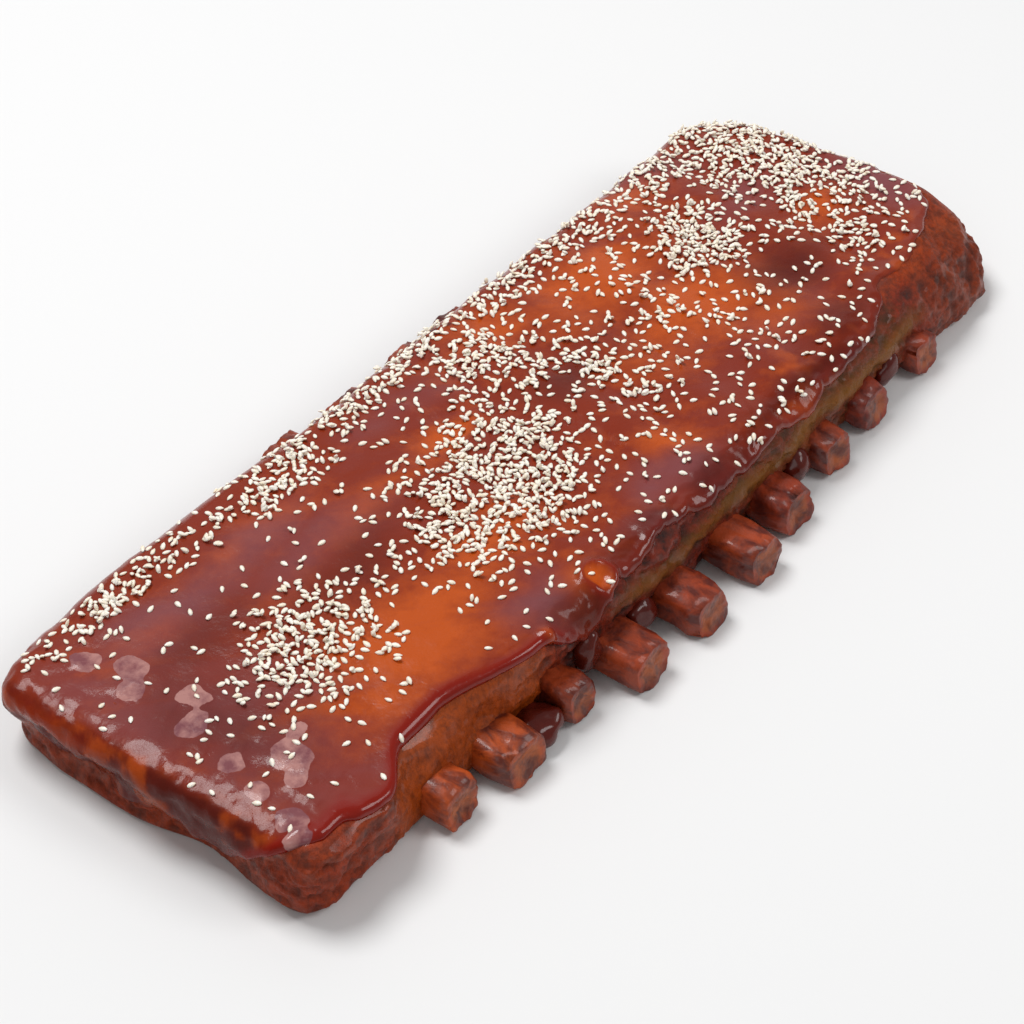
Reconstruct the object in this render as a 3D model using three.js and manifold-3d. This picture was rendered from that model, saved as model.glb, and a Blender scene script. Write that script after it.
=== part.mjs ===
// A full rack of ribs, meat side up, lying on its bones.
//
// The rack is one slab of meat with a glazed top, a hanging flap at its near end and a lumpy lobe at
// its far corner. Ten rib bones run across inside it and show at both long sides. Sesame seeds stick
// to the glaze in the clusters in which they were scattered.
//
// Millimetres. X runs along the rack from its flap to its far end, Y across it, with the side that
// shows its cut wall at -Y, and Z up from the surface that it lies on.

import * as THREE from 'three';
import { mergeGeometries, mergeVertices } from 'three/addons/utils/BufferGeometryUtils.js';
import Module from 'manifold-3d';

// Driving dimensions of the meat: a slab with a rounded top edge, a foot that tucks in a little, and
// its own radius at each corner in plan.
const LENGTH = 366;
const WIDTH = 124;
const THICKNESS = 32;
const TOP_EDGE = 8;
const FOOT_EDGE = 4;
const FOOT_TUCK = 1.5;
const NEAR_CORNER = 10;
const FAR_FRONT_CORNER = 17;
const FAR_BACK_CORNER = 30;

// Driving dimensions of the rib bones. Each has its place along the wall at -Y, its width and the
// places of its two sawn ends, from the flap to the far end.
const RIBS = [
  { x: -128, width: 16, front: -66, back: 75 },
  { x: -103, width: 19, front: -71, back: 76 },
  { x: -74, width: 13, front: -70, back: 78 },
  { x: -49, width: 18, front: -78, back: 80 },
  { x: -19, width: 17, front: -80, back: 78 },
  { x: 11, width: 17, front: -80, back: 78 },
  { x: 36, width: 17, front: -76, back: 77 },
  { x: 67, width: 15, front: -71, back: 73 },
  { x: 94, width: 16, front: -69, back: 68 },
  { x: 128, width: 14, front: -68, back: 67 },
];
const RIB_HALF_SPAN = 78;
const RIB_HEIGHT = 14;
const RIB_CENTRE_Z = 6.5;
const RIB_ARCH = 3.2;
const RIB_SLANT = 5;
const RIB_BOW = 1.5;
const RIB_FLARE = 0.1;
const RIB_SAW_LEAN = 2.2;
const RIB_BEVEL = 1.4;
const RIB_END_SIZE = 0.87;
const RIB_GAP = 0.3;

// Driving dimensions of the seeds.
const SEED_COUNT = 245;
const SEED_LENGTH = 3.3;
const SEED_WIDTH = 2.0;
const SEED_HEIGHT = 1.3;
const SEED_RISE = 0.3;
const SEED_LEAN = 0.35;
const SEED_SPACING = 4.3;
const SEED_MARGIN = 4;
const STEEPEST_SEEDED = 0.75;
const RANDOM_SEED = 20261;

// Where the seeds fell most thickly: centre, reach each way and strength of each cluster.
const SEED_CLUSTERS = [
  { x: -122, y: -4, reachX: 17, reachY: 13, strength: 1.0 },
  { x: -38, y: -10, reachX: 24, reachY: 17, strength: 1.0 },
  { x: -22, y: 4, reachX: 14, reachY: 11, strength: 0.9 },
  { x: -75, y: 50, reachX: 12, reachY: 8, strength: 0.9 },
  { x: -145, y: 58, reachX: 26, reachY: 5, strength: 0.7 },
  { x: 0, y: 54, reachX: 60, reachY: 7, strength: 0.8 },
  { x: 14, y: 30, reachX: 14, reachY: 20, strength: 0.7 },
  { x: 34, y: -4, reachX: 9, reachY: 20, strength: 0.6 },
  { x: 104, y: 14, reachX: 13, reachY: 11, strength: 0.9 },
  { x: 100, y: 50, reachX: 60, reachY: 8, strength: 0.6 },
  { x: 156, y: 20, reachX: 17, reachY: 30, strength: 0.9 },
  { x: 132, y: -26, reachX: 10, reachY: 20, strength: 0.6 },
  { x: 60, y: 0, reachX: 60, reachY: 45, strength: 0.16 },
];
const SEED_BACKGROUND = 0.04;

// Steps of the grids that the skins are made from.
const SLAB_STEPS = { along: 44, across: 14, up: 6 };
const RIB_SIDES = 8;
const RIB_STEPS = 6;

const wasm = await Module();
wasm.setup();

const rise = (value, start, end) => THREE.MathUtils.smoothstep(value, start, end);
const bump = (value, centre, reach) => Math.exp(-0.5 * ((value - centre) / reach) ** 2);
const mix = THREE.MathUtils.lerp;

function randomFrom(seed) {
  let state = seed >>> 0;
  return () => {
    state = (state + 0x6d2b79f5) >>> 0;
    let bits = state;
    bits = Math.imul(bits ^ (bits >>> 15), bits | 1);
    bits ^= bits + Math.imul(bits ^ (bits >>> 7), bits | 61);
    return ((bits ^ (bits >>> 14)) >>> 0) / 4294967296;
  };
}

// Gentle lumps of cooked meat, between -1 and 1, with waves of about the given length.
function lumps(x, y, z, wave) {
  const k = (2 * Math.PI) / wave;
  const first = Math.sin(k * (0.93 * x + 0.31 * y + 0.52 * z) + 0.7);
  const second = Math.sin(k * (-0.41 * x + 0.83 * y + 0.67 * z) * 1.31 + 2.1);
  const third = Math.sin(k * (0.62 * x - 0.55 * y + 0.91 * z) * 1.73 + 4.4);
  return (first + second + third) / 3;
}

// The wall at -Y, which hangs over the ribs. Its glazed lip draws back in a shallow bay near the flap
// and swings in at the far end, where the wall's foot stays out as a lobe.
function frontWall(x, height) {
  const bay = 12 * rise(x, -152, -134) * (1 - rise(x, -120, -82));
  const farSwing = 4 * rise(x, 60, 135) + 19 * rise(x, 138, 182);
  const lip = -60 + bay + farSwing;
  const foot = -54.5 - 3.5 * rise(x, -85, -20) - 3 * rise(x, 100, 165);
  const climb = Math.max(0, height / THICKNESS);
  const belly = (2 + 1.6 * rise(x, -90, -30)) * Math.sin(Math.PI * climb ** 0.7);
  return mix(foot, lip, climb ** 2.2) - belly;
}

// The wall at +Y, which bellies out a little above its foot.
function backWall(x, height) {
  const lip = 61.3 + 7.8 * bump(x, -140, 46) - 2.6 * rise(x, 20, 120) + rise(x, 130, 175);
  return lip + Math.sin((Math.PI * height) / THICKNESS);
}

// How far the end faces stand out from the straight ends of the slab, at -X and at +X.
function nearEndRelief(y, height) {
  const notch = 4.4 * bump(y, -12, 12) * (1 - rise(height, 4, 22));
  const hollow = 4 * bump(y, 34, 17) * bump(height, 12, 5.5);
  const tuck = 2.6 * rise(y, 40, 62) * (1 - rise(height, 8, 26));
  return 2 + 2 * bump(y, 14, 22) + bump(y, 54, 14) + 0.4 * bump(y, -34, 14) - notch - hollow - tuck;
}

function farEndRelief(y, height) {
  const lobe = 4 * bump(y, -38, 15) * bump(height, 15, 8);
  return lobe - 6.5 * rise(y, -28, 58);
}

// The height of the glazed top: thinner towards the flap, crowned across, and waved over the ribs.
function topHeight(x, y) {
  const alongRack = 27 + 5 * rise(x, -183, -70) - 1.2 * rise(x, 110, 183);
  const crown = 1.3 * (1 - (y / 62) ** 2);
  const ribWave = 0.75 * Math.cos((2 * Math.PI * (x - 0.04 * y - 11)) / 28.4) * rise(x, -90, -10);
  return alongRack + crown + ribWave + 0.55 * lumps(x, y, 0, 58);
}

// Bends a square edge into a quarter round. Both distances are measured from the edge, and one of
// them is zero.
function quarterRound(inset, depth, radius) {
  if (inset >= radius || depth >= radius) return [inset, depth];
  const turn = (Math.PI / 4) * (1 + (depth - inset) / radius);
  return [radius * (1 - Math.sin(turn)), radius * (1 - Math.cos(turn))];
}

// Takes a point on the skin of a square block to its place on the slab of meat.
function slabPoint(along, across, up) {
  const halfLength = LENGTH / 2;
  const halfWidth = WIDTH / 2;
  let u = along - halfLength;
  let v = across - halfWidth;
  const inset = Math.max(0, Math.min(halfLength - Math.abs(u), halfWidth - Math.abs(v)));
  const [topInset, depth] = quarterRound(inset, THICKNESS - up, TOP_EDGE);
  const footInset = inset + FOOT_TUCK * Math.max(0, 1 - up / FOOT_EDGE) ** 2;
  const bentInset = up > THICKNESS / 2 ? topInset : footInset;
  const height = THICKNESS - depth;
  if (inset < TOP_EDGE) {
    u *= (halfLength - bentInset) / (halfLength - inset);
    v *= (halfWidth - bentInset) / (halfWidth - inset);
  }

  const farCorner = v < 0 ? FAR_FRONT_CORNER : FAR_BACK_CORNER;
  const corner = u < 0 ? NEAR_CORNER : farCorner;
  const cornerU = Math.abs(u) - (halfLength - corner);
  const cornerV = Math.abs(v) - (halfWidth - corner);
  if (cornerU > 0 && cornerV > 0) {
    const pull = Math.max(cornerU, cornerV) / Math.hypot(cornerU, cornerV);
    u = Math.sign(u) * (halfLength - corner + cornerU * pull);
    v = Math.sign(v) * (halfWidth - corner + cornerV * pull);
  }

  const side = v / halfWidth;
  const end = u / halfLength;
  const y = mix(frontWall(u, height), backWall(u, height), (side + 1) / 2);
  const relief = end < 0 ? -nearEndRelief(y, height) : farEndRelief(y, height);
  const x = u + relief * rise(Math.abs(end), 0.86, 1);
  const crag = 1.1 * lumps(x, y, height, 31) * rise(height, 2, 8) * (1 - rise(height, 24, 30));
  const z = (height * topHeight(x, y)) / THICKNESS;
  return new THREE.Vector3(
    x + crag * Math.sign(end) * rise(Math.abs(end), 0.95, 1),
    y + crag * Math.sign(side) * rise(Math.abs(side), 0.85, 1),
    z,
  );
}

// Moves every vertex of a geometry through a function and keeps only its merged positions.
function reshaped(geometry, pointAt) {
  geometry.deleteAttribute('normal');
  geometry.deleteAttribute('uv');
  const merged = mergeVertices(geometry, 1e-5);
  const places = merged.attributes.position;
  const from = new THREE.Vector3();
  for (let i = 0; i < places.count; i += 1) {
    const to = pointAt(from.fromBufferAttribute(places, i));
    places.setXYZ(i, to.x, to.y, to.z);
  }
  return merged;
}

// Grid lines of the block: two close steps at its far edge, and also at its near edge if asked.
function gridLine(fraction, steps, size, edge, nearSteps) {
  const index = Math.round(fraction * steps);
  if (index <= nearSteps) return (edge * index) / 2;
  if (index >= steps - 2) return size - (edge * (steps - index)) / 2;
  return mix((edge * nearSteps) / 2, size - edge, (index - nearSteps) / (steps - 2 - nearSteps));
}

// The slab from a block with a grid on its top and walls, closed underneath by one flat face.
function slabGeometry() {
  const steps = SLAB_STEPS;
  const atGrid = (p) => slabPoint(
    gridLine(p.x + 0.5, steps.along, LENGTH, TOP_EDGE, 2),
    gridLine(p.y + 0.5, steps.across, WIDTH, TOP_EDGE, 2),
    gridLine(p.z + 0.5, steps.up, THICKNESS, TOP_EDGE, 0),
  );
  const block = new THREE.BoxGeometry(1, 1, 1, steps.along, steps.across, steps.up);
  const underside = block.groups[5];
  block.setIndex([...block.index.array].slice(0, underside.start));
  block.clearGroups();

  const rim = [];
  for (let i = 0; i < steps.along; i += 1) rim.push([i / steps.along, 0]);
  for (let i = 0; i < steps.across; i += 1) rim.push([1, i / steps.across]);
  for (let i = steps.along; i > 0; i -= 1) rim.push([i / steps.along, 1]);
  for (let i = steps.across; i > 0; i -= 1) rim.push([0, i / steps.across]);
  const foot = rim.map(([x, y]) => atGrid(new THREE.Vector3(x - 0.5, y - 0.5, -0.5)));
  const face = new THREE.BufferGeometry().setFromPoints(foot);
  face.setIndex(THREE.ShapeUtils.triangulateShape(foot, []).flatMap(([a, b, c]) => [a, c, b]));
  return mergeVertices(mergeGeometries([reshaped(block, atGrid), face]), 1e-4);
}

// One rib: a flat-sided tube from wall to wall, arched, slightly slanted, and sawn off with a small
// bevel and a foot that stands out. The extra is the clearance of the channel that it lies in.
function ribGeometry(rib, extra = 0) {
  const tube = new THREE.CylinderGeometry(1, 1, 1, RIB_SIDES, RIB_STEPS);
  tube.rotateY(Math.PI / RIB_SIDES);
  return reshaped(tube, (p) => {
    const step = Math.round((p.y + 0.5) * RIB_STEPS);
    const atEnd = step === 0 || step === RIB_STEPS;
    const inner = mix(rib.front + RIB_BEVEL, rib.back - RIB_BEVEL, (step - 1) / (RIB_STEPS - 2));
    const straight = atEnd ? mix(rib.front, rib.back, step / RIB_STEPS) : inner;
    const along = THREE.MathUtils.clamp(straight / RIB_HALF_SPAN, -1, 1);
    const swell = (atEnd ? RIB_END_SIZE : 1) * (1 - RIB_FLARE * (1 - along * along));
    const centreX = rib.x + (RIB_SLANT * (along + 1)) / 2 + RIB_BOW * Math.sin(Math.PI * along);
    const centreZ = RIB_CENTRE_Z + RIB_ARCH * (1 - along * along);
    const nearEnd = Math.abs(along) > 0.8 ? Math.sign(along) : 0;
    const lean = -nearEnd * RIB_SAW_LEAN * ((p.z + 1) / 2);
    return new THREE.Vector3(
      centreX + p.x * ((rib.width / 2) * swell + extra),
      straight + lean,
      centreZ + p.z * ((RIB_HEIGHT / 2) * swell + extra),
    );
  });
}

function solidFrom(geometry) {
  const vertProperties = Float32Array.from(geometry.attributes.position.array);
  const triVerts = Uint32Array.from(geometry.index.array);
  return new wasm.Manifold(new wasm.Mesh({ numProp: 3, vertProperties, triVerts }));
}

function geometryFrom(solid) {
  const mesh = solid.getMesh();
  const geometry = new THREE.BufferGeometry();
  geometry.setAttribute('position', new THREE.BufferAttribute(mesh.vertProperties, 3));
  geometry.setIndex(new THREE.BufferAttribute(mesh.triVerts, 1));
  geometry.computeVertexNormals();
  return geometry;
}

// How thickly the seeds lie at a point of the top, between 0 and 1.
function seedDensity(x, y) {
  const clusters = SEED_CLUSTERS.map((c) => c.strength * bump(x, c.x, c.reachX) * bump(y, c.y, c.reachY));
  return Math.min(1, SEED_BACKGROUND + Math.max(...clusters));
}

// Draws the places of the seeds on the glazed top, each clear of the others.
function seedPlaces(topMesh) {
  const random = randomFrom(RANDOM_SEED);
  const ray = new THREE.Raycaster();
  const down = new THREE.Vector3(0, 0, -1);
  const places = [];
  while (places.length < SEED_COUNT) {
    const x = (random() - 0.5) * (LENGTH - 2 * SEED_MARGIN);
    const y = (random() - 0.5) * WIDTH;
    const chance = random();
    const turn = random() * Math.PI;
    const clear = places.every((p) => Math.hypot(p.point.x - x, p.point.y - y) > SEED_SPACING);
    if (chance > seedDensity(x, y) || !clear) continue;
    ray.set(new THREE.Vector3(x, y, 2 * THICKNESS), down);
    const [hit] = ray.intersectObject(topMesh);
    if (!hit || hit.face.normal.z < STEEPEST_SEEDED) continue;
    places.push({ point: hit.point, normal: hit.face.normal.clone(), turn });
  }
  return places;
}

// One sesame seed: a drop of few faces with its tips along X, half sunk in the glaze.
function seedGeometry({ point, normal, turn }) {
  const up = new THREE.Vector3(0, 0, 1);
  const spin = new THREE.Quaternion().setFromAxisAngle(up, turn);
  const turned = new THREE.Quaternion().setFromUnitVectors(up, normal).multiply(spin);
  const drop = new THREE.SphereGeometry(1, 6, 2).rotateZ(Math.PI / 2);
  return reshaped(drop, (p) => new THREE.Vector3(
    (p.x * SEED_LENGTH) / 2 - SEED_LEAN * (1 - Math.abs(p.x)),
    (p.y * SEED_WIDTH) / 2,
    (p.z * SEED_HEIGHT) / 2 + SEED_RISE * (1 - Math.abs(p.x)),
  ).applyQuaternion(turned).add(point));
}

const glazedMeat = new THREE.MeshStandardMaterial({ color: 0x7a2613, roughness: 0.22, metalness: 0 });
const glazedBone = new THREE.MeshStandardMaterial({ color: 0x8a4a26, roughness: 0.4, metalness: 0 });

const rack = new THREE.Group();

function add(name, geometry, material) {
  const mesh = new THREE.Mesh(geometry, material);
  mesh.name = name;
  rack.add(mesh);
}

const slab = slabGeometry();
const seeds = seedPlaces(new THREE.Mesh(slab)).map((place) => solidFrom(seedGeometry(place)));
const channels = RIBS.map((rib) => solidFrom(ribGeometry(rib, RIB_GAP)));
let meat = solidFrom(slab);
for (const channel of channels) meat = meat.subtract(channel);
for (const seed of seeds) meat = meat.add(seed);
add('rack_meat', geometryFrom(meat), glazedMeat);

RIBS.forEach((rib, index) => {
  const number = String(index + 1).padStart(2, '0');
  add(`rib_bone_${number}`, ribGeometry(rib), glazedBone);
});

export default rack;
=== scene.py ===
import math
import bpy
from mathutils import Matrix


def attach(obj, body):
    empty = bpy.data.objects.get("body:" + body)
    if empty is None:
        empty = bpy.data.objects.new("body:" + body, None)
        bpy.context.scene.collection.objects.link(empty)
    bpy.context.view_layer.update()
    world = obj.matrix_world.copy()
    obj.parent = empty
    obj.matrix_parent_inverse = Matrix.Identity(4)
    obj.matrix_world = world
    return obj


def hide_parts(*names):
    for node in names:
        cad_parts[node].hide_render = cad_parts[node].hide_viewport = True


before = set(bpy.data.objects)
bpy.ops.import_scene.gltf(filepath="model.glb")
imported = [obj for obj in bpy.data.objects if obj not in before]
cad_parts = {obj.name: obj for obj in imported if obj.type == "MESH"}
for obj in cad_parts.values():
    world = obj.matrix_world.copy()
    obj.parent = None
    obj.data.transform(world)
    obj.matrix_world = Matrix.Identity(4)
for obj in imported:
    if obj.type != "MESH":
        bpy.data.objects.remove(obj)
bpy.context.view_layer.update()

from types import SimpleNamespace

import bpy
import numpy as np
from mathutils import Matrix, Vector, noise

# A full rack of ribs under a dark glaze, meat side up on its bones, with sesame seeds.
#
# Shapes are worked out in millimetres by the same rules as the solids, from the same named sizes,
# and written to the meshes in metres. X runs along the rack from its flap to its thick end, -Y is
# the side that shows the cut wall and the longer rib ends, and Z is up.

bl_info = {
    "name": "Glazed Rack of Ribs",
    "version": (1, 0, 0),
    "blender": (4, 5, 0),
    "location": "3D View > Sidebar > Ribs",
    "description": "Builds a glazed rack of ribs with sesame seeds around its packed solids",
    "category": "Add Mesh",
}

MM = 0.001

# The slab of meat.
LENGTH = 366
WIDTH = 124
THICKNESS = 32
HALF_LENGTH = LENGTH / 2
HALF_WIDTH = WIDTH / 2
TOP_EDGE = 8
FOOT_EDGE = 4
FOOT_TUCK = 1.5
NEAR_CORNER = 10
FAR_FRONT_CORNER = 17
FAR_BACK_CORNER = 30

# The ribs: place along the wall at -Y, width, and places of the two sawn ends.
RIBS = [
    (-128, 16, -66, 75),
    (-103, 19, -71, 76),
    (-74, 13, -70, 78),
    (-49, 18, -78, 80),
    (-19, 17, -80, 78),
    (11, 17, -80, 78),
    (36, 17, -76, 77),
    (67, 15, -71, 73),
    (94, 16, -69, 68),
    (128, 14, -68, 67),
]
RIB_HALF_SPAN = 78
RIB_HEIGHT = 14
RIB_CENTRE_Z = 6.5
RIB_ARCH = 3.2
RIB_SLANT = 5
RIB_BOW = 1.5
RIB_FLARE = 0.1
RIB_SAW_LEAN = 2.2

# How light each rib is, from glazed dark to roast orange.
RIB_LIGHT = [0.75, 0.85, 0.35, 0.3, 0.25, 0.35, 0.1, 0.3, 0.0, 0.2]

# How finely the starting shapes are cut. For the meat: axis and number of cuts, in order.
MEAT_CUTS = [(0, 2), (0, 96), (1, 97), (2, 37)]
GLAZE_CUTS = (340, 130)
RIB_SIDES = 64
RIB_CUTS = 30
RIB_CAP_INSETS = (0.06, 0.14, 0.22, 0.22, 0.2)

# The glaze may stop this far inside the rim of the slab, and its sheet goes this far past the rim.
RIM_BAND = 24
GLAZE_OVERHANG = 8
LEAST_REACH = -0.85 * RIM_BAND
# The thickness of the sheet itself, how deep its edge is sunk in the meat, how far from the edge
# it has its full body, and where along that way the bead swells and how wide.
GLAZE_SHEET = 0.6
GLAZE_SINK = 0.3
EDGE_ROLL = 2.4
BEAD_PLACE = 3.4
BEAD_REACH = 2.2

# Drops of glaze hanging between the ribs and on the wall: centre and half sizes.
DROPS = [
    (-88, -62, 5.5, 8.5, 7.5, 5.4),
    (-60, -60, 12.0, 5.0, 3.6, 8.5),
    (-34, -61, 8.0, 5.5, 4.5, 6.0),
    (52, -62, 9.0, 5.5, 5.0, 7.0),
    (111, -60, 10.0, 6.0, 4.5, 6.5),
]
# A fold of glaze that lies as a ring on the lip: centre, radius of the loop and reach of its cord.
FOLD = (-48.5, -54.6, 4.4, 1.15)
# A small lump on the lip: centre and reach.
LUMP = (-77.0, -56.5, 1.5)

# Where the seeds fell most thickly: centre, reach each way and strength of each cluster.
SEED_CLUSTERS = [
    (-122, -4, 15, 11, 1.1),
    (-38, -10, 21, 15, 1.3),
    (-22, 4, 14, 11, 1.2),
    (-75, 50, 11, 7, 0.9),
    (-140, 58, 18, 4, 0.9),
    (-110, 55, 14, 5, 0.5),
    (-20, 55, 42, 6, 0.75),
    (60, 52, 50, 6, 0.6),
    (12, 32, 13, 19, 0.6),
    (30, -2, 8, 20, 0.55),
    (104, 14, 12, 11, 1.2),
    (130, 48, 40, 7, 0.7),
    (158, 26, 15, 28, 1.0),
    (140, -22, 9, 18, 0.55),
    (168, -10, 8, 16, 0.5),
    (168, 36, 10, 16, 1.0),
    (60, 0, 62, 44, 0.18),
]
SEED_BACKGROUND = 0.025

# How the seeds are drawn and laid: the faces of one seed, how far from the middle they fall and
# from which height, and the least upward part of the surface's normal that holds one. Seeds nearer
# to each other than the crowding distance pile up, at most so many under one seed. They are looked
# up by cells of the given side, which is no smaller than that distance.
RANDOM_SEED = 2026
SEED_SEGMENTS = 6
SEED_RINGS = 5
SEED_SPREAD = 66
SEED_LEVEL = 0.55
SEED_CROWDING = 1.8
SEED_PILE = 2
SEED_CELL = 2
SEED_FALL = 60

# Bright amber places of the glaze: centre, reach each way and strength.
AMBER_PLACES = [
    (-105, -27, 24, 13, 1.0),
    (-28, 20, 12, 5, 0.9),
    (70, 28, 20, 12, 1.0),
    (72, -8, 22, 14, 0.9),
    (-51, -53, 7, 5, 1.0),
    (84, -28, 12, 8, 0.7),
    (18, -36, 8, 7, 0.7),
    (110, 46, 12, 6, 0.6),
    (150, -8, 9, 7, 0.7),
    (-70, 18, 22, 5, 0.5),
    (-98, 41, 16, 5, 0.45),
    (22, 42, 14, 6, 0.7),
    (-62, -22, 20, 12, 0.7),
    (-150, 40, 20, 7, 0.35),
]

# Places where a grey-violet sheen is painted on the glaze as its reflection of the light, and dark
# places of the glaze.
PAINTED_SHEEN_PLACES = [
    (-160, 0, 17, 44, 0.55),
    (-172, 18, 9, 26, 0.6),
    (-172, -24, 8, 20, 0.6),
    (-132, 40, 26, 7, 0.8),
    (-90, 24, 26, 6, 0.6),
    (-70, -47, 8, 6, 0.8),
    (-100, 37, 20, 7, 0.8),
    (0, -46, 16, 7, 0.8),
    (128, 50, 20, 9, 0.7),
    (174, -16, 7, 16, 1.0),
    (90, -38, 22, 7, 0.3),
    (-20, 40, 24, 6, 0.5),
    (132, 18, 14, 7, 0.5),
]
DARK_PLACES = [
    (18, 5, 11, 7, 0.8),
    (112, -18, 12, 8, 0.9),
    (-160, -5, 12, 22, 0.6),
    (-88, 6, 16, 7, 0.6),
    (-56, -60, 14, 6, 1.0),
    (0, -60, 40, 5, 1.0),
    (80, -58, 45, 5, 1.0),
    (100, -47, 18, 7, 0.7),
    (-140, 22, 18, 8, 0.5),
]

# Painted highlights on the flap: pale patches on low plateaus of the glaze, standing in for the
# light's reflection on small bumps: centre and reach each way.
PAINTED_HIGHLIGHT_PATCHES = [
    (-157, 12, 4.5, 5.5),
    (-158, -27, 6.0, 7.0),
    (-150, -22, 4.0, 3.0),
    (-176, -42, 4.0, 4.5),
    (-170, -15, 5.0, 4.0),
    (-167, 5, 6.0, 4.0),
    (-165, 48, 4.5, 4.5),
    (-160, 34, 4.0, 5.0),
    (-166, 28, 4.5, 4.0),
    (-164, -33, 3.5, 3.0),
    (-180, -47, 4.0, 3.5),
    (-174, -27, 3.0, 4.0),
]

# The stage, in metres and watts. Each light has a name, a place, a size and a power.
LIGHTS = [
    ("key", (-0.1, 0.7, 1.6), 0.8, 22.5),
    ("sheen", (1.0, 0.9, 1.0), 1.6, 2.5),
    ("side", (0.5, -1.0, 1.1), 0.7, 7.5),
    ("front", (-1.1, -0.5, 0.8), 0.7, 1.6),
]
WORLD_LIGHT = 0.31
FLOOR_SIZE = 6
FLOOR_GREY = 0.76
FLOOR_GAP = 0.0002
CAMERA_PLACE = (-0.5628, -0.4166, 0.650)
CAMERA_AIM = (-0.010, 0, 0)
CAMERA_LENS = 102.08
CAMERA_SENSOR = 36
IMAGE_SIDE = 1024
CAMERA_SHIFT = (-17 / IMAGE_SIDE, -2 / IMAGE_SIDE)


def srgb(code):
    """A colour in scene units from its usual six digits."""
    parts = [int(code[i : i + 2], 16) / 255 for i in (0, 2, 4)]
    return [c / 12.92 if c <= 0.04045 else ((c + 0.055) / 1.055) ** 2.4 for c in parts]


def rise(value, start, end):
    """A smooth step from 0 at the start to 1 at the end."""
    t = np.clip((value - start) / (end - start), 0, 1)
    return t * t * (3 - 2 * t)


def bump(value, centre, reach):
    """A bell of height 1."""
    return np.exp(-0.5 * ((value - centre) / reach) ** 2)


def mix(low, high, share):
    """A value between two others."""
    return low + (high - low) * share


def places(x, y, spots):
    """The strongest of some soft spots at each point."""
    fields = [strength * bump(x, cx, rx) * bump(y, cy, ry) for cx, cy, rx, ry, strength in spots]
    return np.max(fields, axis=0)


def lumps(x, y, z, wave):
    """Gentle lumps of cooked meat, between -1 and 1, with waves of about the given length."""
    k = 2 * np.pi / wave
    first = np.sin(k * (0.93 * x + 0.31 * y + 0.52 * z) + 0.7)
    second = np.sin(k * (-0.41 * x + 0.83 * y + 0.67 * z) * 1.31 + 2.1)
    third = np.sin(k * (0.62 * x - 0.55 * y + 0.91 * z) * 1.73 + 4.4)
    return (first + second + third) / 3


def grain(points, wave, octaves=3, seed=0.0):
    """Fractal noise of about -1 to 1 at the points. The wave is one length or one for each axis."""
    scaled = (points + 31.7 * seed) / np.asarray(wave, float)
    values = (noise.fractal(p, 0.8, 2.1, octaves) for p in scaled.tolist())
    return np.fromiter(values, float, len(points))


def crust(points, wave, octaves=3, seed=0.0):
    """Noise of 0 to about 1 with sharp ridges and round hollows, as browned crust has."""
    scaled = (points + 47.3 * seed) / np.asarray(wave, float)
    values = (noise.fractal(p, 0.8, 2.1, octaves) for p in scaled.tolist())
    return 1 - np.minimum(1, 1.6 * np.abs(np.fromiter(values, float, len(points))))


def front_wall(x, height):
    """The wall at -Y. Its lip draws back in a bay near the flap and swings in at the far end."""
    bay = 12 * rise(x, -152, -134) * (1 - rise(x, -120, -82))
    far_swing = 4 * rise(x, 60, 135) + 19 * rise(x, 138, 182)
    lip = -60 + bay + far_swing
    foot = -54.5 - 3.5 * rise(x, -85, -20) - 3 * rise(x, 100, 165)
    climb = np.clip(height / THICKNESS, 0, None)
    belly = (2 + 1.6 * rise(x, -90, -30)) * np.sin(np.pi * climb**0.7)
    return mix(foot, lip, climb**2.2) - belly


def back_wall(x, height):
    """The wall at +Y, which bellies out a little above its foot."""
    lip = 61.3 + 7.8 * bump(x, -140, 46) - 2.6 * rise(x, 20, 120) + rise(x, 130, 175)
    return lip + np.sin(np.pi * height / THICKNESS)


def near_end_relief(y, height):
    """How far the end face at -X stands out from the straight end of the slab."""
    notch = 4.4 * bump(y, -12, 12) * (1 - rise(height, 4, 22))
    hollow = 4 * bump(y, 34, 17) * bump(height, 12, 5.5)
    tuck = 2.6 * rise(y, 40, 62) * (1 - rise(height, 8, 26))
    return 2 + 2 * bump(y, 14, 22) + bump(y, 54, 14) + 0.4 * bump(y, -34, 14) - notch - hollow - tuck


def far_end_relief(y, height):
    """How far the end face at +X stands out: its front corner is a lobe, and its back draws in."""
    lobe = 4 * bump(y, -38, 15) * bump(height, 15, 8)
    return lobe - 6.5 * rise(y, -28, 58)


def top_height(x, y):
    """The height of the top: thinner towards the flap, crowned across, and waved over the ribs."""
    along_rack = 27 + 5 * rise(x, -183, -70) - 1.2 * rise(x, 110, 183)
    crown = 1.3 * (1 - (y / 62) ** 2)
    rib_wave = 0.75 * np.cos(2 * np.pi * (x - 0.04 * y - 11) / 28.4) * rise(x, -90, -10)
    return along_rack + crown + rib_wave + 0.55 * lumps(x, y, 0, 58)


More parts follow.
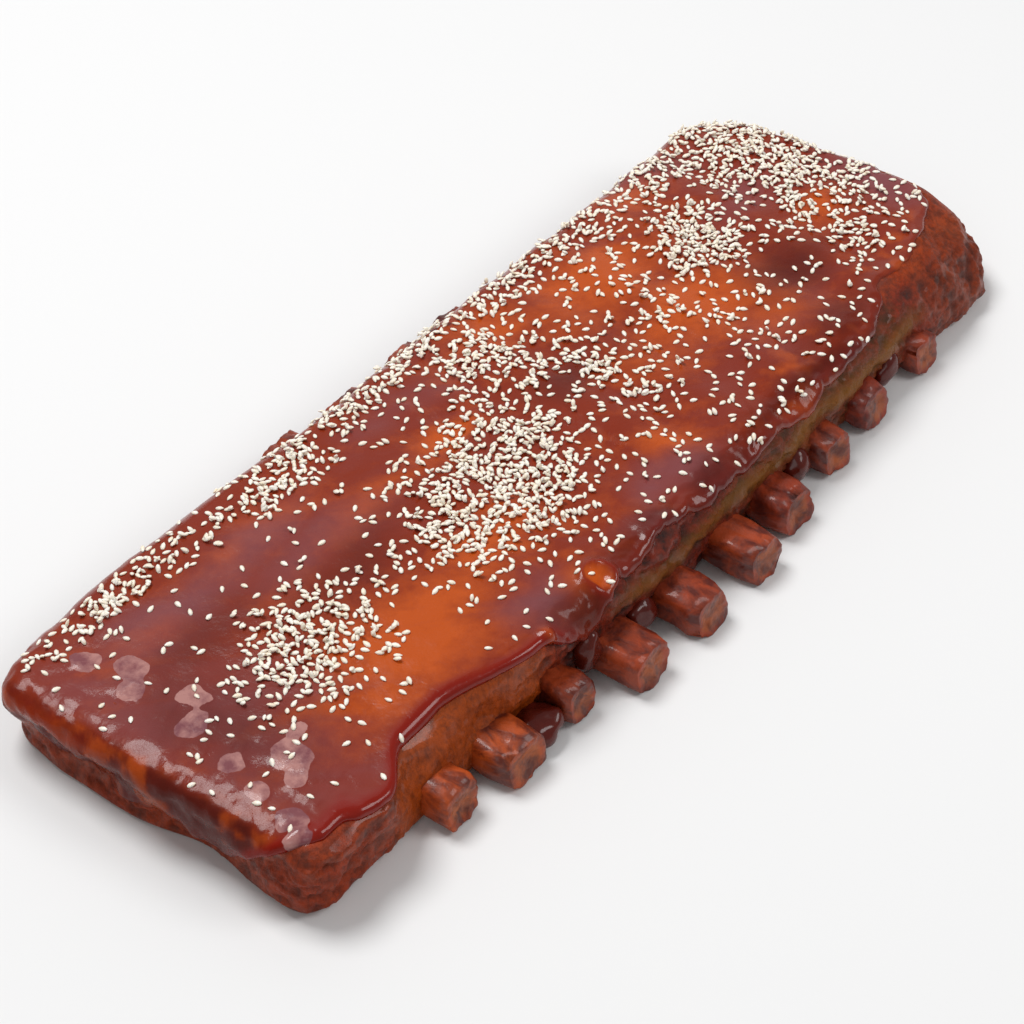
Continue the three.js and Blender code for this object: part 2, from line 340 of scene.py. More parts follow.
def slab_skin(u, v, up):
    """Takes points on the skin of a square block, centred in plan, to the slab of meat."""
    inset = np.clip(np.minimum(HALF_LENGTH - abs(u), HALF_WIDTH - abs(v)), 0, None)
    depth = THICKNESS - up
    turn = np.pi / 4 * (1 + (depth - inset) / TOP_EDGE)
    bent = (inset < TOP_EDGE) & (depth < TOP_EDGE)
    top_inset = np.where(bent, TOP_EDGE * (1 - np.sin(turn)), inset)
    depth = np.where(bent, TOP_EDGE * (1 - np.cos(turn)), depth)
    tuck = FOOT_TUCK * np.clip(1 - up / FOOT_EDGE, 0, None) ** 2
    foot_inset = inset + tuck * (1 - inset / TOP_EDGE)
    drawn_in = np.where(up > THICKNESS / 2, top_inset, foot_inset)
    height = THICKNESS - depth
    at_rim = inset < TOP_EDGE
    u = np.where(at_rim, u * (HALF_LENGTH - drawn_in) / (HALF_LENGTH - inset), u)
    v = np.where(at_rim, v * (HALF_WIDTH - drawn_in) / (HALF_WIDTH - inset), v)

    far_corner = np.where(v < 0, FAR_FRONT_CORNER, FAR_BACK_CORNER)
    corner = np.where(u < 0, NEAR_CORNER, far_corner)
    corner_u = abs(u) - (HALF_LENGTH - corner)
    corner_v = abs(v) - (HALF_WIDTH - corner)
    in_corner = (corner_u > 0) & (corner_v > 0)
    reach = np.maximum(np.hypot(corner_u, corner_v), 1e-9)
    pull = np.maximum(corner_u, corner_v) / reach
    u = np.where(in_corner, np.sign(u) * (HALF_LENGTH - corner + corner_u * pull), u)
    v = np.where(in_corner, np.sign(v) * (HALF_WIDTH - corner + corner_v * pull), v)

    side = v / HALF_WIDTH
    end = u / HALF_LENGTH
    y = mix(front_wall(u, height), back_wall(u, height), (side + 1) / 2)
    relief = np.where(end < 0, -near_end_relief(y, height), far_end_relief(y, height))
    x = u + relief * rise(abs(end), 0.86, 1)
    crag = 1.1 * lumps(x, y, height, 31) * rise(height, 2, 8) * (1 - rise(height, 24, 30))
    x_out = x + crag * np.sign(end) * rise(abs(end), 0.95, 1)
    y_out = y + crag * np.sign(side) * rise(abs(side), 0.85, 1)
    return np.column_stack([x_out, y_out, height * top_height(x, y) / THICKNESS])


def rib_centre_x(rib, y):
    """Where a rib's middle line runs: slightly slanted and bowed."""
    along = np.clip(y / RIB_HALF_SPAN, -1, 1)
    return rib[0] + RIB_SLANT * (along + 1) / 2 + RIB_BOW * np.sin(np.pi * along)


def points_of(obj):
    """An object's vertices as an array, in millimetres."""
    points = np.empty(len(obj.data.vertices) * 3)
    obj.data.vertices.foreach_get("co", points)
    return points.reshape(-1, 3) / MM


def normals_of(obj):
    """The directions in which an object's vertices face."""
    normals = np.empty(len(obj.data.vertices) * 3)
    obj.data.vertex_normals.foreach_get("vector", normals)
    return normals.reshape(-1, 3)


def put_points(obj, points):
    """Writes an object's vertices back, from millimetres."""
    obj.data.vertices.foreach_set("co", (points * MM).ravel())
    obj.data.update()


def put_on_ground(obj, points):
    """Writes an object's vertices back as put_points does, with none below the ground."""
    points[:, 2] = np.maximum(points[:, 2], 0)
    put_points(obj, points)


def put_mask(obj, name, values):
    """Stores one number for each vertex, which the material reads by its name."""
    layer = obj.data.attributes.new(name, "FLOAT", "POINT")
    layer.data.foreach_set("value", np.asarray(values, np.float32))


def deselect_all():
    """Leaves edit mode and deselects every object."""
    if bpy.context.object and bpy.context.object.mode != "OBJECT":
        bpy.ops.object.mode_set(mode="OBJECT")
    bpy.ops.object.select_all(action="DESELECT")


def make_active(obj):
    """Selects one object alone, so that the next operator works on it."""
    deselect_all()
    obj.select_set(True)
    bpy.context.view_layer.objects.active = obj


def named(name):
    """Names the object that an operator has just added."""
    obj = bpy.context.object
    obj.name = name
    obj.data.name = name
    return obj


def apply_modifier(obj, kind, **settings):
    """Adds a modifier with the given settings and applies it."""
    make_active(obj)
    modifier = obj.modifiers.new(kind.lower(), kind)
    for key, value in settings.items():
        setattr(modifier, key, value)
    bpy.ops.object.modifier_apply(modifier=modifier.name)


def settle(obj, material):
    """Applies the object's place, shades it smooth, and puts it on the rack's body."""
    make_active(obj)
    bpy.ops.object.transform_apply(location=True, rotation=True, scale=True)
    bpy.ops.object.shade_smooth()
    obj.data.materials.clear()
    obj.data.materials.append(material)
    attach(obj, "root")


def cut_edges_along(axis, cuts):
    """In edit mode, cuts every edge that runs along an axis into equal lengths."""
    bpy.ops.mesh.select_mode(type="EDGE")
    bpy.ops.mesh.select_all(action="DESELECT")
    bpy.ops.object.mode_set(mode="OBJECT")
    mesh = bpy.context.object.data
    ends = np.array([v.co for v in mesh.vertices])
    pairs = np.array([e.vertices[:] for e in mesh.edges])
    run = np.abs(ends[pairs[:, 0]] - ends[pairs[:, 1]])
    chosen = run[:, axis] > 1e-6
    mesh.edges.foreach_set("select", chosen)
    bpy.ops.object.mode_set(mode="EDIT")
    bpy.ops.mesh.subdivide(number_cuts=cuts)


class Wire:
    """One output of a material's nodes. Arithmetic on wires adds Math nodes."""

    def __init__(self, recipe, socket):
        self.recipe = recipe
        self.socket = socket

    def math(self, operation, *terms):
        inputs = dict(enumerate(terms))
        return self.recipe.node("ShaderNodeMath", {"operation": operation}, inputs)

    def __add__(self, other):
        return self.math("ADD", self, other)

    def __sub__(self, other):
        return self.math("SUBTRACT", self, other)

    def __mul__(self, other):
        return self.math("MULTIPLY", self, other)

    def __rsub__(self, other):
        return self.math("SUBTRACT", other, self)

    __radd__ = __add__
    __rmul__ = __mul__

    def clamped(self):
        return self.math("MINIMUM", self.math("MAXIMUM", self, 0.0), 1.0)


class Recipe:
    """One material and the nodes that it is made of."""

    def __init__(self, name):
        self.material = bpy.data.materials.new(name)
        self.material.use_nodes = True
        self.tree = self.material.node_tree
        self.tree.nodes.clear()
        self.place = self.node("ShaderNodeTexCoord", output="Object")

    def node(self, kind, settings=None, inputs=None, output=0):
        """Adds a node: its settings are set first, then the values or links of its sockets."""
        made = self.tree.nodes.new(kind)
        for key, value in (settings or {}).items():
            if key == "stops":
                self.set_stops(made, value)
            else:
                setattr(made, key, value)
        for key, value in (inputs or {}).items():
            if isinstance(value, Wire):
                self.tree.links.new(value.socket, made.inputs[key])
            else:
                made.inputs[key].default_value = value
        return Wire(self, made.outputs[output])

    def set_stops(self, ramp, stops):
        elements = ramp.color_ramp.elements
        while len(elements) < len(stops):
            elements.new(0.5)
        for element, (place, value) in zip(elements, stops):
            element.position = place
            element.color = (value, value, value, 1)

    def mask(self, name):
        return self.node("ShaderNodeAttribute", {"attribute_name": name}, output="Fac")

    def stretched(self, waves, turn=0.0):
        """Object coordinates with one wave length along each axis, in millimetres."""
        inputs = {"Vector": self.place, "Rotation": (0, 0, turn)}
        turned = self.node("ShaderNodeMapping", inputs=inputs)
        scale = [1 / (w * MM) for w in waves]
        return self.node(
            "ShaderNodeVectorMath", {"operation": "MULTIPLY"}, {0: turned, 1: scale}
        )

    def noise(self, waves, detail=3.0, roughness=0.5, distortion=0.0, turn=0.0):
        inputs = {
            "Vector": self.stretched(waves, turn),
            "Scale": 1.0,
            "Detail": detail,
            "Roughness": roughness,
            "Distortion": distortion,
        }
        return self.node("ShaderNodeTexNoise", inputs=inputs)

    def steps(self, value, *stops):
        """A grey ramp through the given (place, value) stops."""
        settings = {"stops": stops}
        return self.node("ShaderNodeValToRGB", settings, {"Fac": value})

    def blend(self, share, first, second, how="MIX"):
        """One colour laid over another by a share."""
        inputs = {0: share, 6: as_colour(first), 7: as_colour(second)}
        settings = {"data_type": "RGBA", "blend_type": how}
        return self.node("ShaderNodeMix", settings, inputs, output=2)

    def bumped(self, height, depth, under=None):
        """A bump of the given depth in millimetres, over another if one is given."""
        inputs = {"Strength": 1.0, "Distance": depth * MM, "Height": height}
        if under is not None:
            inputs["Normal"] = under
        return self.node("ShaderNodeBump", inputs=inputs)

    def finish(self, **sockets):
        """Ends the material in one Principled BSDF. Underscores stand for spaces."""
        inputs = {key.replace("_", " "): value for key, value in sockets.items()}
        shader = self.node("ShaderNodeBsdfPrincipled", inputs=inputs)
        output = self.tree.nodes.new("ShaderNodeOutputMaterial")
        self.tree.links.new(shader.socket, output.inputs["Surface"])
        return self.material


def as_colour(value):
    return value if isinstance(value, Wire) else (*value, 1.0)


def colour_property(name, description, code):
    return bpy.props.FloatVectorProperty(
        name=name, description=description, default=srgb(code), subtype="COLOR", min=0, max=1
    )


def length_property(name, description, millimetres):
    return bpy.props.FloatProperty(
        name=name, description=description, default=millimetres, min=0, soft_max=20
    )


class RackSizes(bpy.types.PropertyGroup):
    """Sizes of the finish, in millimetres."""

    glaze: length_property("Glaze", "Thickness of the glaze on the top, in mm", 0.9)
    bead: length_property("Bead", "How far the glaze swells along its edge, in mm", 0.8)
    crags: length_property("Crags", "Depth of the crags in the cut walls, in mm", 1.5)
    seed_length: length_property("Seed length", "Length of a seed, in mm", 2.8)
    seed_width: length_property("Seed width", "Width of a seed, in mm", 1.65)
    seed_height: length_property("Seed height", "Thickness of a seed, in mm", 1.0)
    seed_count: bpy.props.IntProperty(
        name="Seeds", description="How many seeds lie on the glaze", default=4050, min=0
    )


class RackColours(bpy.types.PropertyGroup):
    """Colours of the glaze, the meat, the bones and the seeds."""

    maroon: colour_property("Maroon", "Glaze over most of the top", "7c2812")
    amber: colour_property("Amber", "Glaze where the light meat shows through", "b04a14")
    # Painted sheen: the grey-violet reflection of the soft light on the glaze, laid into its colour.
    cloud: colour_property("Cloud", "Cloudy grey-violet film on the glaze", "76464c")
    # Also painted shade: this dark colour shades the near end wall and, more deeply, its hollow.
    dark: colour_property("Dark", "Glaze where it is thick and dark", "420f0c")
    ruby: colour_property("Ruby", "Glaze along its thick clear edge", "781204")
    # Painted highlight: the pale pinkish-grey reflection colour of the patches on the flap.
    flake: colour_property("Flake", "Pale flakes under the glaze", "ae7e78")
    browned: colour_property("Browned", "Browned meat of the walls", "982c0e")
    # Also painted shade: the hollows of the wall crags are darkened with this colour.
    roast: colour_property("Roast", "Orange-brown meat of the walls", "9c4008")
    char: colour_property("Char", "Darkest crust of the walls", "240d08")
    fat: colour_property("Fat", "Olive-brown seam of fat in the walls", "7c4c10")
    membrane: colour_property("Membrane", "Skin of the underside", "8a5a40")
    bone: colour_property("Bone", "Rib ends under their glaze", "8c2e14")
    marrow: colour_property("Marrow", "Sawn core of the ribs", "a0562a")
    seed: colour_property("Seed", "Hulled sesame seed", "f6efe2")
    toasted: colour_property("Toasted", "Darker places of the seeds", "dcc49c")


def sizes():
    return bpy.context.scene.rack_sizes


def colours():
    return bpy.context.scene.rack_colours


def meat_material():
    recipe = Recipe("roast_meat")
    tone = colours()
    fibres = recipe.noise((1.6, 1.6, 5.0), detail=4.0, roughness=0.6, distortion=0.4)
    blotches = recipe.noise((14, 14, 9), detail=3.0, distortion=0.6)
    pits = recipe.noise((2.2, 2.2, 2.2), detail=5.0, roughness=0.7)
    roast = (recipe.mask("roast") + (blotches - 0.5) * 0.7).clamped()
    base = recipe.blend(roast, tone.browned, tone.roast)
    streaks = recipe.steps(fibres, (0.34, 1.0), (0.56, 0.0))
    base = recipe.blend(streaks * 0.4, base, tone.char)
    # Char crust, with painted shade in the crag hollows.
    crusty = (recipe.mask("char") + (pits - 0.5) * 0.7).clamped()
    base = recipe.blend(crusty, base, tone.char)
    fatty = (recipe.mask("fat") + (pits - 0.5) * 0.6 - 0.05).clamped()
    base = recipe.blend(fatty * 0.85, base, tone.fat)
    base = recipe.blend(recipe.mask("membrane"), base, tone.membrane)
    fine = recipe.bumped(fibres, 0.5)
    relief = recipe.bumped(pits, 0.6, fine)
    return recipe.finish(
        Base_Color=base,
        Roughness=recipe.steps(blotches, (0.35, 0.4), (0.7, 0.65)),
        Normal=relief,
        Specular_IOR_Level=0.2,
        Coat_Weight=recipe.steps(blotches, (0.48, 0.0), (0.6, 0.35)),
        Coat_Roughness=0.12,
    )


def glaze_material():
    recipe = Recipe("dark_glaze")
    tone = colours()
    brush = recipe.noise((46, 13, 30), detail=3.0, distortion=0.5, turn=0.72)
    mottle = recipe.noise((8, 8, 8), detail=4.0, roughness=0.6)
    speck = recipe.noise((2.4, 2.4, 2.4), detail=3.0)
    fleck = recipe.noise((5, 5, 5), detail=4.0, roughness=0.65, distortion=0.3)
    patchy = (brush - 0.5) * 1.2 + (mottle - 0.5) * 0.7 + (fleck - 0.5) * 0.9
    amber = (recipe.mask("amber") * 1.3 + patchy - 0.08).clamped()
    # Painted sheen: grey-violet reflection mixed into the base colour.
    cloud = (recipe.mask("cloud") * 1.1 + (0.5 - brush) * 0.9 - 0.05).clamped()
    # Dark glaze, and painted shade on the near end wall and its hollow.
    dark = (recipe.mask("dark") * 1.1 + (mottle - 0.5) * 0.6 - 0.05).clamped()
    base = recipe.blend(amber, tone.maroon, tone.amber)
    base = recipe.blend(cloud * 0.75, base, tone.cloud)
    base = recipe.blend(dark * 0.8, base, tone.dark)
    base = recipe.blend(recipe.mask("ruby"), base, tone.ruby)
    # Painted highlight patches: pale reflection colour laid over the glaze with crisp edges.
    painted_highlight_share = recipe.steps(recipe.mask("flake") + (speck - 0.5) * 0.25, (0.5, 0.0), (0.54, 1.0))
    pale = recipe.blend(recipe.steps(mottle, (0.4, 0.0), (0.62, 1.0)), tone.flake, tone.cloud)
    base = recipe.blend(painted_highlight_share * 0.85, base, pale)
    ripple = recipe.bumped(mottle, 0.45)
    relief = recipe.bumped(speck, 0.06, ripple)
    return recipe.finish(
        Base_Color=base,
        Roughness=recipe.steps(mottle, (0.3, 0.18), (0.7, 0.34)),
        Normal=relief,
        Specular_IOR_Level=0.12,
        Coat_Weight=recipe.mask("wet") * 0.42,
        Coat_Roughness=0.07,
    )


def rib_material():
    recipe = Recipe("glazed_bone")
    tone = colours()
    marks = recipe.noise((6, 9, 6), detail=4.0, roughness=0.6, distortion=0.5)
    pores = recipe.noise((1.1, 1.1, 1.1), detail=3.0)
    core = (recipe.mask("core") + (pores - 0.5) * 0.5).clamped()
    base = recipe.blend(recipe.mask("light"), tone.bone, tone.amber)
    base = recipe.blend(core * 0.7, base, tone.marrow)
    shade = recipe.steps(marks, (0.38, 0.85), (0.6, 0.0))
    base = recipe.blend(shade, base, tone.dark)
    relief = recipe.bumped(pores, 0.2, recipe.bumped(marks, 0.5))
    return recipe.finish(
        Base_Color=base,
        Roughness=recipe.steps(marks, (0.3, 0.35), (0.7, 0.6)),
        Normal=relief,
        Specular_IOR_Level=0.3,
        Coat_Weight=0.25,
        Coat_Roughness=0.12,
    )


def seed_material():
    recipe = Recipe("sesame_seed")
    tone = colours()
    shade = recipe.noise((2.6, 2.6, 2.6), detail=2.0)
    stain = recipe.steps(shade, (0.42, 0.0), (0.75, 0.55))
    base = recipe.blend(stain, tone.seed, tone.toasted)
    return recipe.finish(
        Base_Color=base,
        Roughness=0.42,
        Subsurface_Weight=0.15,
        Subsurface_Radius=(1.0, 0.8, 0.5),
        Subsurface_Scale=MM,
    )


class RACK_OT_meat(bpy.types.Operator):
    """Build the meat: the slab with its cut walls, crags and bone side"""

    bl_idname = "rack.meat"
    bl_label = "Meat"

    def execute(self, context):
        deselect_all()
        bpy.ops.mesh.primitive_cube_add(size=1)
        meat = named("meat_slab")
        bpy.ops.object.mode_set(mode="EDIT")
        for axis, cuts in MEAT_CUTS:
            cut_edges_along(axis, cuts)
        bpy.ops.object.mode_set(mode="OBJECT")
        block = points_of(meat) * MM
        u = block[:, 0] * LENGTH
        v = block[:, 1] * WIDTH
        up = (block[:, 2] + 0.5) * THICKNESS
        put_points(meat, slab_skin(u, v, up))
        self.roughen(meat, up)
        settle(meat, meat_material())
        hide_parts("rack_meat")
        return {"FINISHED"}

    def roughen(self, meat, up):
        """Gives the walls their crags and the underside its bones, and marks what each part is."""
        points = points_of(meat)
        normals = normals_of(meat)
        x, y, z = points.T
        wall = (1 - rise(np.abs(normals[:, 2]), 0.35, 0.85)) * rise(z, 0.5, 4)
        under = (up < 1e-6) * rise(-normals[:, 2], 0.5, 0.9)
        front = rise(-normals[:, 1], 0.3, 0.7)
        flap_side = front * rise(x, -156, -140) * (1 - rise(x, -92, -74))

        coarse = grain(points, (13, 13, 9), octaves=3, seed=1)
        crags = crust(points, (8, 8, 6), octaves=4, seed=2)
        fibres = grain(points, (3.2, 3.2, 9), octaves=3, seed=3)
        depth = sizes().crags
        relief = depth * (0.8 * coarse + 0.7 * (crags - 0.6) * (1 - 0.6 * flap_side) + 0.35 * fibres)

        seam_z = 19.5 + 1.5 * np.sin(x / 9)
        seam = front * bump(z, seam_z, 2.6) * rise(x, -56, -35) * (1 - rise(x, 122, 140))
        relief += 1.0 * seam
        relief *= 1 - 0.7 * rise(z, 19, 26) * (1 - front)

        ridges = np.max([bump(x, rib_centre_x(rib, y), rib[1] * 0.42) for rib in RIBS], axis=0)
        inside = rise(HALF_LENGTH - 6 - np.abs(x), 0, 14) * rise(56 - np.abs(y), 0, 10)
        sunk = 2.4 * (1 - ridges) * inside + 0.4 * (1 + coarse) * inside

        lobe = rise(x, 120, 150) * (1 - rise(y, -46, -36)) * (1 - under)
        rough = np.maximum(wall, 0.9 * lobe)
        moved = points + normals * (relief * rough)[:, None]
        moved[:, 2] += sunk * under
        put_on_ground(meat, moved)

        dark_front = front * rise(x, -84, -62) * (1 - 0.6 * rise(x, 118, 140))
        put_mask(meat, "roast", 0.95 * flap_side + 0.4 * (1 - dark_front) + 0.3 * lobe)
        put_mask(meat, "fat", 0.8 * seam + 0.25 * front * rise(x, 0, 40) * (1 - rise(x, 110, 130)))
        # Char crust where the front darkens, with painted shade in the hollows of the crags.
        char = 0.1 + 0.35 * dark_front + 0.5 * (1 - crags) - 0.35 * flap_side
        put_mask(meat, "char", np.clip(char, 0, 1) * (1 - under))
        put_mask(meat, "membrane", under * (0.35 + 0.65 * ridges))


def glaze_reach(x, y):
    """How far down the wall the glaze runs from the rim. Below 0, it stops short of the rim."""
    points = np.column_stack([x, y, np.zeros_like(x)])
    wave = 2.4 * grain(points, 15, octaves=3, seed=5)
    front = 1.5 + 0.3 * wave + (1.5 + 1.3 * wave) * rise(x, -82, -60) - 8 * bump(x, -180, 12)
    front += 11 * bump(x, -60, 5) + 5 * bump(x, -70, 4) + 5 * bump(x, 26, 5) + 6 * bump(x, 58, 6)
    front -= 10 * rise(x, 100, 135)
    near = 22.5 + 2.4 * wave * rise(y, -50, -25) - 29 * bump(y, -64, 17)
    far = 9 + 1.6 * wave - 14 * (1 - rise(y, -36, -16))
    back = 9 + 2.2 * wave + 6 * bump(x, -60, 6) + 5 * bump(x, 42, 7) + 7 * bump(x, 110, 6)
    reach = mix(front, back, rise(y, 48, 58))
    reach = mix(reach, near, rise(-x, 166, 180))
    return np.maximum(mix(reach, far, rise(x, 152, 176)), LEAST_REACH)


class RACK_OT_glaze(bpy.types.Operator):
    """Build the glaze: one coat over the top that swells at its edge and runs down the walls"""

    bl_idname = "rack.glaze"
    bl_label = "Glaze"

    def execute(self, context):
        deselect_all()
        along, across = GLAZE_CUTS
        bpy.ops.mesh.primitive_grid_add(x_subdivisions=along, y_subdivisions=across, size=2)
        glaze = named("glaze_coat")
        from_edge = self.lay(glaze)
        points = points_of(glaze)
        normals = normals_of(glaze)
        at = self.features(points, normals)
        self.thicken(glaze, points, normals, from_edge, at)
        self.paint(glaze, points, from_edge, at)
        apply_modifier(glaze, "SOLIDIFY", thickness=GLAZE_SHEET * MM, offset=-1)
        settle(glaze, glaze_material())
        return {"FINISHED"}

    def lay(self, glaze):
        """Lays the sheet on the slab. Returns how far each vertex is from the edge of the glaze."""
        sheet = points_of(glaze) * MM
        u = sheet[:, 0] * (HALF_LENGTH + GLAZE_OVERHANG)
        v = sheet[:, 1] * (HALF_WIDTH + GLAZE_OVERHANG)
        inset = np.minimum(HALF_LENGTH - abs(u), HALF_WIDTH - abs(v))
        outer = np.minimum(inset, RIM_BAND)
        rim_u = u * HALF_LENGTH / (HALF_LENGTH - outer)
        rim_v = v * HALF_WIDTH / (HALF_WIDTH - outer)
        reach = glaze_reach(rim_u, rim_v)
        # The band along the rim is drawn in or stretched, so that the sheet ends where the glaze
        # does. What lies past the rim then turns down the wall.
        run = (RIM_BAND + reach) / (RIM_BAND + GLAZE_OVERHANG)
        near_rim = inset < RIM_BAND
        drawn = np.where(near_rim, RIM_BAND - (RIM_BAND - outer) * run, inset)
        over = np.maximum(drawn, 0)
        u = np.where(near_rim, rim_u * (HALF_LENGTH - over) / HALF_LENGTH, u)
        v = np.where(near_rim, rim_v * (HALF_WIDTH - over) / HALF_WIDTH, v)
        up = THICKNESS + np.minimum(drawn, 0)
        put_points(glaze, slab_skin(u, v, up))
        return drawn + reach

    def features(self, points, normals):
        """Where each feature of the coat is, as one share for each vertex."""
        x, y, z = points.T
        upward = rise(normals[:, 2], 0.1, 0.4)
        near_wall = rise(-normals[:, 0], 0.35, 0.75)
        flap_rim = rise(-y, 20, 40) * (1 - rise(x, -110, -80))
        fold_x, fold_y, fold_radius, cord = FOLD
        from_fold = np.hypot(x - fold_x, y - fold_y)
        uneven = 0.75 + 0.35 * grain(points, 7, octaves=2, seed=16)
        lump_x, lump_y, lump_reach = LUMP
        warp = 0.5 * grain(points, 8.5, octaves=2, seed=10)
        away = np.min([np.hypot((x - cx) / rx, (y - cy) / ry) for cx, cy, rx, ry in PAINTED_HIGHLIGHT_PATCHES], axis=0)
        return SimpleNamespace(
            front=np.maximum(rise(-normals[:, 1], 0.15, 0.6), flap_rim),
            near_wall=near_wall,
            hollow=near_wall * bump(y, 28, 18) * bump(z, 10, 6),
            band=near_wall * bump(y, 46, 15) * bump(z, 21.5, 2.4),
            ring=bump(from_fold, fold_radius, cord) * uneven * upward,
            in_ring=1 - rise(from_fold, fold_radius - cord, fold_radius),
            lump=bump(np.hypot(x - lump_x, y - lump_y), 0, lump_reach) * upward,
            highlight_patches=np.clip(1.5 - away - warp, 0, 1),
        )

    def thicken(self, glaze, points, normals, from_edge, at):
        """Lifts the coat off the meat, with a bead along its edge and folds where it hangs."""
        x, y, _ = points.T
        bend = np.clip(from_edge / EDGE_ROLL, 0, 1)
        rolled = np.sqrt(1 - (1 - bend) ** 2)
        bead = sizes().bead * bump(from_edge, BEAD_PLACE, BEAD_REACH) * (0.3 + 1.3 * at.front)
        wide_swells = 0.35 * grain(points, 22, octaves=2, seed=7)
        swells = wide_swells + 0.12 * grain(points, 7, octaves=2, seed=8)
        flap = 1 - rise(x, -172, -140)
        lumpy = 0.6 * flap * grain(points, 6, octaves=2, seed=9)
        hanging = 1.1 * grain(points, (9, 14, 9), octaves=3, seed=14) - 0.9 * at.hollow
        lip_run = rise(x, -88, -70) * (1 - rise(x, 120, 150)) * (1 - rise(y, -56, -46))
        folds = at.near_wall * hanging
        folds += lip_run * (0.9 * crust(points, (9, 7, 9), octaves=3, seed=15) - 0.35)
        folds += 2.3 * at.ring + 1.7 * at.lump
        highlight_patches = rise(at.highlight_patches, 0.45, 0.65)
        body = sizes().glaze + bead + swells + lumpy + folds + 0.3 * highlight_patches + 0.8 * at.near_wall
        put_points(glaze, points + normals * (rolled * body - GLAZE_SINK)[:, None])

    def paint(self, glaze, points, from_edge, at):
        """Marks where the coat is amber, ruby red and wet, where it is dark, and where painted
        sheen, painted shade and painted highlight patches lie.
        """
        x, y, _ = points.T
        drift = 9 * grain(points, 34, octaves=2, seed=11)
        slide = 6 * grain(points, 26, octaves=2, seed=12)
        patches = grain(points, 11, octaves=3, seed=13)
        bright = np.max([at.in_ring, at.lump, at.band], axis=0)

        lip_glints = rise(x, 40, 70) * (1 - rise(y, -44, -30)) * np.clip(patches + 0.1, 0, 0.5)
        wall_glints = at.near_wall * np.clip(1.6 * patches - 0.1, 0, 0.55)
        amber = places(x + drift, y + slide, AMBER_PLACES)
        amber = np.max([amber, wall_glints, lip_glints, 0.7 * at.lump], axis=0)
        put_mask(glaze, "amber", np.max([amber, 0.4 * at.in_ring, 0.6 * at.band], axis=0))

        # Painted sheen over the top, and a little on the near wall.
        cloud = places(x + slide, y + drift, PAINTED_SHEEN_PLACES) * (1 - at.near_wall)
        wall_painted_sheen = at.near_wall * np.clip(-0.1 - patches, 0, 0.3)
        cloud = np.maximum(cloud, wall_painted_sheen) - 0.25 * at.near_wall
        put_mask(glaze, "cloud", cloud - 0.5 * bright)

        dark = places(x + slide, y - drift, DARK_PLACES)
        # Painted shade: the near end wall, turned from the light, is darkened, and its hollow more
        # so.
        painted_wall_shade = 0.95 * at.near_wall + 0.6 * at.hollow - 1.2 * wall_glints
        dark = np.max([dark, painted_wall_shade, 0.7 * at.ring], axis=0)
        put_mask(glaze, "dark", dark * (1 - bright))

        edge = (1 - rise(from_edge, 4.0, 8.5)) * (0.2 + 0.8 * at.front)
        edge *= 1 - 0.75 * rise(x, -80, -60)
        edge = np.maximum(edge, 0.9 * at.ring) * (1 - 0.6 * at.lump) * (1 - 0.8 * at.in_ring)
        put_mask(glaze, "ruby", np.maximum(edge, 0.6 * at.band))
        put_mask(glaze, "flake", at.highlight_patches)
        film = np.full(len(x), 0.35)
        wet = np.max([1 - rise(from_edge, 4, 10), at.ring, at.lump, film], axis=0)
        put_mask(glaze, "wet", wet * (1 - 0.85 * at.near_wall))


